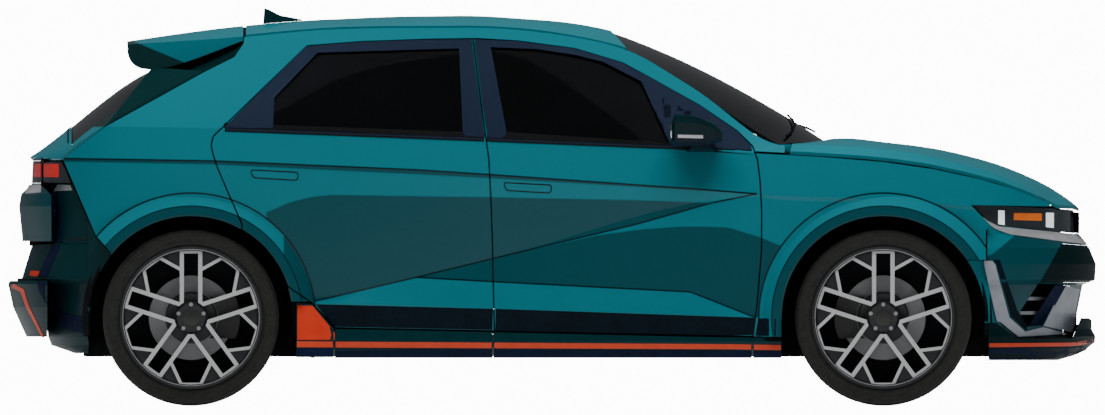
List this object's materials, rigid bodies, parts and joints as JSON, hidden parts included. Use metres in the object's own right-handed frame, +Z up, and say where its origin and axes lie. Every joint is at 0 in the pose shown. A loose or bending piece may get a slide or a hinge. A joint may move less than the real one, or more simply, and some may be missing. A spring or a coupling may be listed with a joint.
{
  "type": "five-door electric hatchback",
  "caption": "Five-door electric performance hatchback with opening doors, bonnet and tailgate, steered front wheels and turning wheels.",
  "frame": {"origin": "on the ground, under the middle of the car's overall length and width", "axes": "+X is the car's front, +Z is up, and -Y is the car's right side, the one the picture shows"},
  "size_m": [4.716, 2.2, 1.7249],
  "materials": {
    "teal_paint": "gloss",
    "dark_paint": "gloss",
    "glass": "tinted",
    "tyre": "matt",
    "rim_metal": "satin",
    "disc_iron": "turned",
    "cast_metal": "satin",
    "grey_metal": "satin",
    "lamp_plastic": "clear",
    "seat_fabric": "woven",
    "black_plastic": "matt"
  },
  "bodies": {
    "body": {"arch_linings": "black_plastic", "battery_pack": "grey_metal", "body_side_left": "teal_paint", "body_side_right": "teal_paint", "bumper_blades": "teal_paint", "bumper_carriers": "black_plastic", "dampers": "black_plastic", "dashboard": "black_plastic", "drive_units": "cast_metal", "front_bumper": "dark_paint", "front_mask": "teal_paint", "front_splitter": "dark_paint", "front_wing_left": "teal_paint", "front_wing_right": "teal_paint", "headlamps": "lamp_plastic", "knuckles_rear": "cast_metal", "pillar_left": "teal_paint", "pillar_right": "teal_paint", "rear_bumper": "dark_paint", "rear_diffuser": "dark_paint", "roof": "teal_paint", "roof_fin": "dark_paint", "seats": "seat_fabric", "side_skirts": "dark_paint", "subframe_front": "cast_metal", "subframe_rear": "cast_metal", "tail_lamps": "lamp_plastic", "underbody": "cast_metal", "windscreen": "glass", "wipers": "black_plastic"},
    "bonnet": {"bonnet": "teal_paint"},
    "wheel_front_left": {"brake_disc_front_left": "disc_iron", "rim_front_left": "rim_metal", "tyre_front_left": "tyre"},
    "wheel_front_right": {"brake_disc_front_right": "disc_iron", "rim_front_right": "rim_metal", "tyre_front_right": "tyre"},
    "wheel_rear_left": {"brake_disc_rear_left": "disc_iron", "rim_rear_left": "rim_metal", "tyre_rear_left": "tyre"},
    "wheel_rear_right": {"brake_disc_rear_right": "disc_iron", "rim_rear_right": "rim_metal", "tyre_rear_right": "tyre"},
    "door_front_left": {"door_front_left": "teal_paint", "glass_door_front_left": "glass", "mirror_left": "teal_paint"},
    "door_front_right": {"door_front_right": "teal_paint", "glass_door_front_right": "glass", "mirror_right": "teal_paint"},
    "door_rear_left": {"door_rear_left": "teal_paint", "glass_door_rear_left": "glass"},
    "door_rear_right": {"door_rear_right": "teal_paint", "glass_door_rear_right": "glass"},
    "knuckle_front_left": {"knuckle_front_left": "cast_metal"},
    "knuckle_front_right": {"knuckle_front_right": "cast_metal"},
    "tailgate": {"rear_spoiler": "dark_paint", "tailgate": "teal_paint", "tailgate_glass": "glass", "tailgate_lamps": "teal_paint"},
    "steering_wheel": {"steering_wheel": "black_plastic"}
  },
  "joints": [
    {"name": "door_front_right_hinge", "type": "hinge", "parent": "body", "child": "door_front_right", "pos_m": [0.85, -0.936, 0.7], "axis": [0, 0, 1], "range_deg": [0, 66]},
    {"name": "door_rear_right_hinge", "type": "hinge", "parent": "body", "child": "door_rear_right", "pos_m": [-0.29, -0.937, 0.7], "axis": [0, 0, 1], "range_deg": [0, 66]},
    {"name": "steer_right", "type": "hinge", "parent": "body", "child": "knuckle_front_right", "pos_m": [1.434, -0.74, 0.383], "axis": [0, 0, 1], "range_deg": [-32, 32]},
    {"name": "wheel_front_right_spin", "type": "hinge", "parent": "knuckle_front_right", "child": "wheel_front_right", "pos_m": [1.434, -0.822, 0.383], "axis": [0, 1, 0], "continuous": true},
    {"name": "wheel_rear_right_spin", "type": "hinge", "parent": "body", "child": "wheel_rear_right", "pos_m": [-1.567, -0.822, 0.383], "axis": [0, 1, 0], "continuous": true},
    {"name": "door_front_left_hinge", "type": "hinge", "parent": "body", "child": "door_front_left", "pos_m": [0.85, 0.936, 0.7], "axis": [0, 0, -1], "range_deg": [0, 66]},
    {"name": "door_rear_left_hinge", "type": "hinge", "parent": "body", "child": "door_rear_left", "pos_m": [-0.29, 0.937, 0.7], "axis": [0, 0, -1], "range_deg": [0, 66]},
    {"name": "steer_left", "type": "hinge", "parent": "body", "child": "knuckle_front_left", "pos_m": [1.434, 0.74, 0.383], "axis": [0, 0, 1], "range_deg": [-32, 32]},
    {"name": "wheel_front_left_spin", "type": "hinge", "parent": "knuckle_front_left", "child": "wheel_front_left", "pos_m": [1.434, 0.822, 0.383], "axis": [0, 1, 0], "continuous": true},
    {"name": "wheel_rear_left_spin", "type": "hinge", "parent": "body", "child": "wheel_rear_left", "pos_m": [-1.567, 0.822, 0.383], "axis": [0, 1, 0], "continuous": true},
    {"name": "bonnet_hinge", "type": "hinge", "parent": "body", "child": "bonnet", "pos_m": [0.94, 0, 1.075], "axis": [0, -1, 0], "range_deg": [0, 50]},
    {"name": "tailgate_hinge", "type": "hinge", "parent": "body", "child": "tailgate", "pos_m": [-1.35, 0, 1.641], "axis": [0, 1, 0], "range_deg": [0, 76]},
    {"name": "steering_wheel_turn", "type": "hinge", "parent": "body", "child": "steering_wheel", "pos_m": [0.52, 0.38, 0.96], "axis": [-0.9135, 0, 0.4067], "range_deg": [-416, 416]}
  ],
  "couplings": [
    {"joint": "steer_right", "follows": "steer_left", "ratio": 1},
    {"joint": "steering_wheel_turn", "follows": "steer_left", "ratio": 13}
  ]
}
